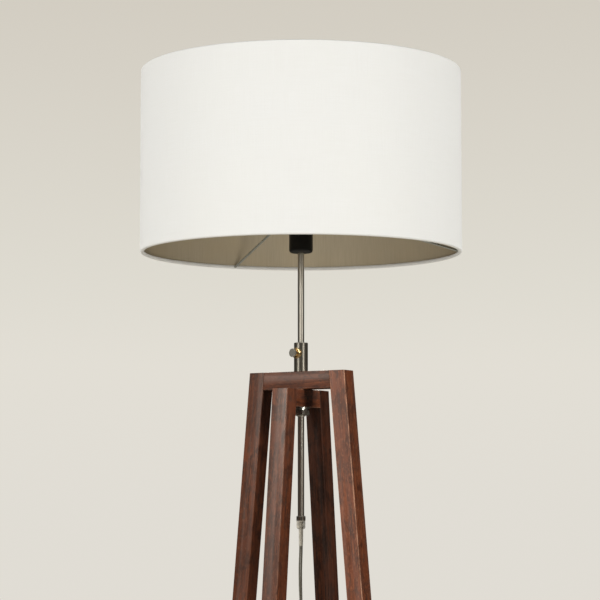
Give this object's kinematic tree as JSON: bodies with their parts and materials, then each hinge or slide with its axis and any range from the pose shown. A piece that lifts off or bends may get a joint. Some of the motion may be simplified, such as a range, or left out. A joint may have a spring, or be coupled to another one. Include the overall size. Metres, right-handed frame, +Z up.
{
  "type": "tripod floor lamp",
  "caption": "Floor lamp with crossed wooden leg frames, a height-adjustable steel mast held by a thumbscrew, a fabric drum shade and a foot switch.",
  "frame": {"origin": "on the floor, on the axis of the mast, midway between the legs", "axes": "+Z up along the mast; +X along the upper leg frame, towards its right leg; -Y towards the front leg, the side the thumbscrew faces"},
  "size_m": [0.5, 0.5, 1.5],
  "materials": {
    "wood": "dark walnut stain, open grain, satin",
    "beech": "bare turned dowel",
    "black_plastic": "moulded, satin",
    "steel": "polished to satin, drawn along its length",
    "brass": "turned, lightly tarnished",
    "ceramic": "glazed insulator",
    "clear_plastic": "clear moulded, slightly yellowed",
    "clear_cord": "clear soft jacket over two tinned strands",
    "shade_fabric": "plain weave laminated on a stiff backing",
    "shade_lining": "satin champagne foil",
    "white_plastic": "moulded, fine sheen",
    "nickel": "bright nickel"
  },
  "bodies": {
    "stand": {"leg_right": "wood", "leg_left": "wood", "leg_front": "wood", "leg_back": "wood", "upper_rail": "wood", "lower_rail": "wood", "frame_dowels": "beech", "rail_pins": "steel", "glide_right": "black_plastic", "glide_left": "black_plastic", "glide_front": "black_plastic", "glide_back": "black_plastic", "clamp_sleeve": "steel", "clamp_boss": "brass", "flat_washer": "steel", "lock_washer": "steel", "clamp_nut": "steel", "cord_drop": "clear_cord", "cord_to_switch": "clear_cord", "cord_to_coil": "clear_cord", "cord_coil": "clear_cord", "coil_tie": "white_plastic", "cord_to_plug": "clear_cord", "switch_base": "white_plastic", "switch_cover": "white_plastic", "switch_spring": "steel", "switch_contacts": "brass", "switch_screws": "steel", "switch_relief_front": "white_plastic", "switch_relief_back": "white_plastic", "plug_body": "white_plastic", "plug_relief": "white_plastic", "plug_pins": "nickel"},
    "cord_core": {"inner_cord": "clear_cord", "gland_sleeve": "clear_plastic"},
    "mast": {"mast_tube": "steel", "holder_locknut": "steel", "holder_cap": "black_plastic", "holder_insert": "ceramic", "holder_contacts": "brass", "terminal_screws": "steel", "screw_shell": "brass", "holder_skirt": "black_plastic", "shade_ring": "black_plastic", "gland_ferrule": "steel", "gland_nut": "clear_plastic", "shade_cover": "shade_fabric", "shade_lining": "shade_lining", "shade_top_ring": "steel", "shade_bottom_ring": "steel", "spider_hub": "steel", "spider_arm_right": "steel", "spider_arm_left": "steel", "spider_arm_front": "steel"},
    "screw_stem": {"thumbscrew_stem": "steel"},
    "screw_knob": {"thumbscrew_knob": "steel"},
    "foot_button": {"switch_button": "white_plastic"}
  },
  "joints": [
    {"name": "mast_slide", "type": "slide", "parent": "stand", "child": "cord_core", "axis": [0, 0, 1], "range_m": [-0.135, 0.15], "deforming": ["cord_drop"]},
    {"name": "mast_turn", "type": "hinge", "parent": "cord_core", "child": "mast", "pos_m": [0, 0, 1.03], "axis": [0, 0, 1], "range_deg": [-170, 170]},
    {"name": "screw_advance", "type": "slide", "parent": "stand", "child": "screw_stem", "axis": [-0.1736, -0.9848, 0], "range_m": [0, 0.00125]},
    {"name": "screw_turn", "type": "hinge", "parent": "screw_stem", "child": "screw_knob", "pos_m": [0, 0, 1.0586], "axis": [-0.1736, -0.9848, 0], "range_deg": [0, 540]},
    {"name": "button_press", "type": "slide", "parent": "stand", "child": "foot_button", "axis": [0, 0, -1], "range_m": [0, 0.0025], "stiffness_N_per_m": 400, "springref_m": -0.004, "deforming": ["switch_spring"]}
  ],
  "couplings": [
    {"joint": "screw_advance", "follows": "screw_turn", "m_per_rad": 0.00012732}
  ]
}
